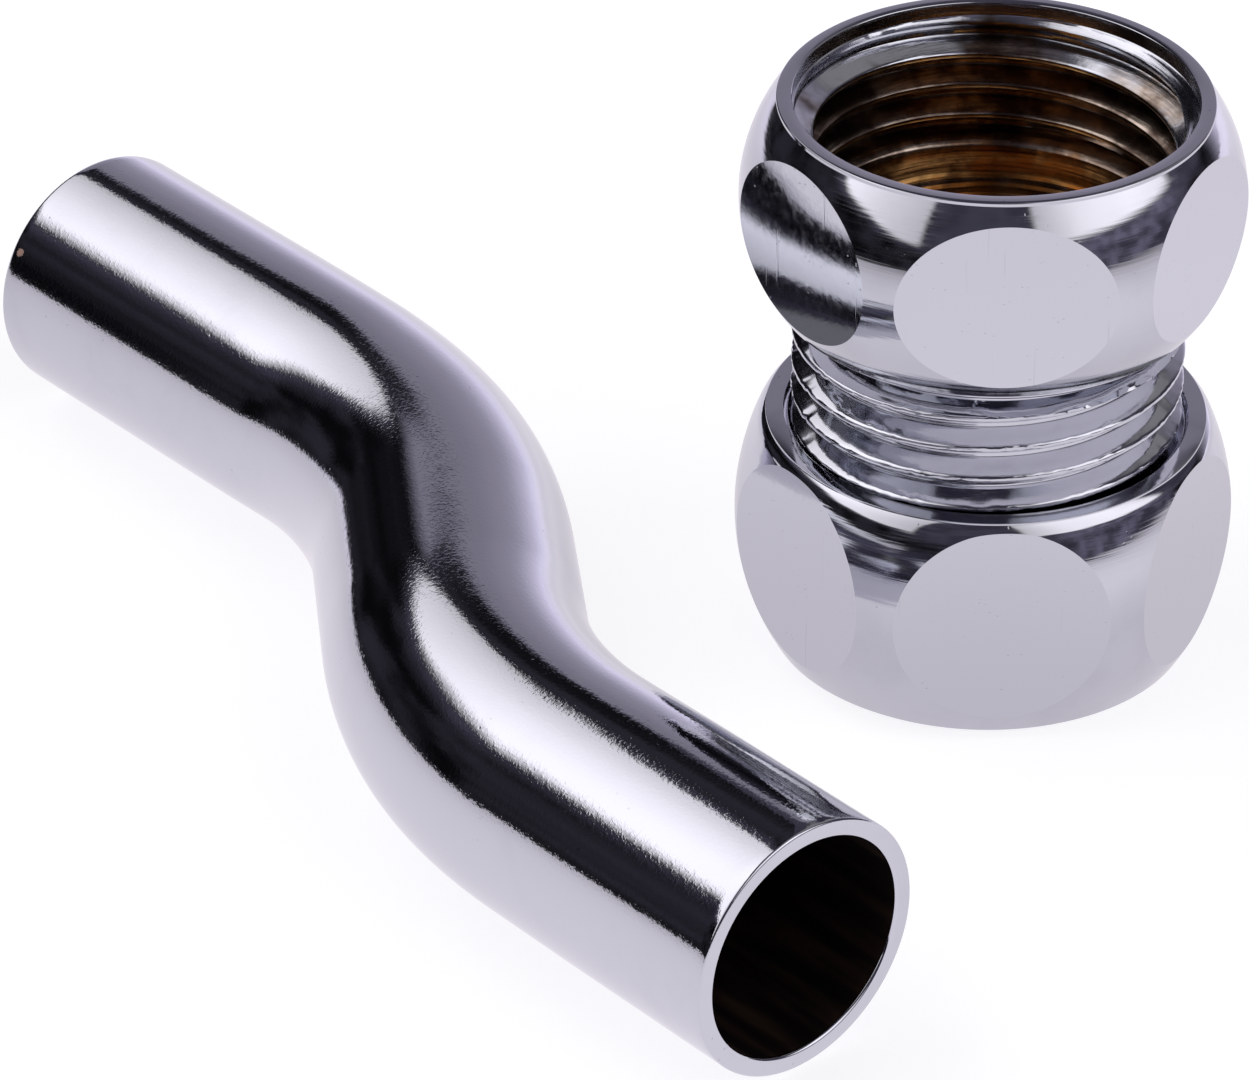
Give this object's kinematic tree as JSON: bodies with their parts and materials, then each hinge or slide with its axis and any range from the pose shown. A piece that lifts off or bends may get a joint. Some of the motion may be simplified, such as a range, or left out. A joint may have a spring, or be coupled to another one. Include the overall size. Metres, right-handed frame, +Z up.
{
  "type": "offset tube and compression coupling",
  "caption": "Chrome offset tube lying beside an upright straight coupling with a threaded socket, domed hexagons and a screw-on compression nut.",
  "frame": {"origin": "centre of the whole arrangement's footprint, on the surface that both items rest on", "axes": "+Z up along the coupling's axis, socket mouth upwards; +X along the tube's straight legs, towards its near end; +Y towards the side the far leg is offset to"},
  "size_m": [0.0756, 0.0546, 0.032],
  "materials": {
    "tube_chrome": "bright plated over copper tube",
    "body_chrome": "bright plated over turned brass, bare brass deep in the socket",
    "nut_chrome": "bright plated over turned brass",
    "ring_brass": "bare turned brass"
  },
  "bodies": {
    "coupling": {"fitting_body": "body_chrome"},
    "ring": {"compression_ring": "ring_brass"},
    "nut": {"compression_nut": "nut_chrome"},
    "tube": {"offset_tube": "tube_chrome"}
  },
  "joints": [
    {"name": "ring_travel", "type": "slide", "parent": "coupling", "child": "ring", "axis": [0, 0, 1], "range_m": [-0.0073, 0.00035]},
    {"name": "nut_turn", "type": "hinge", "parent": "ring", "child": "nut", "pos_m": [0.01406, 0.01444, 0.0066], "axis": [0, 0, 1], "range_deg": [-1440, 60]},
    {"name": "tube_lift", "type": "slide", "parent": "coupling", "child": "tube", "axis": [0, 0, 1], "range_m": [0, 0.06]}
  ],
  "couplings": [
    {"joint": "ring_travel", "follows": "nut_turn", "m_per_rad": 0.00028871}
  ]
}
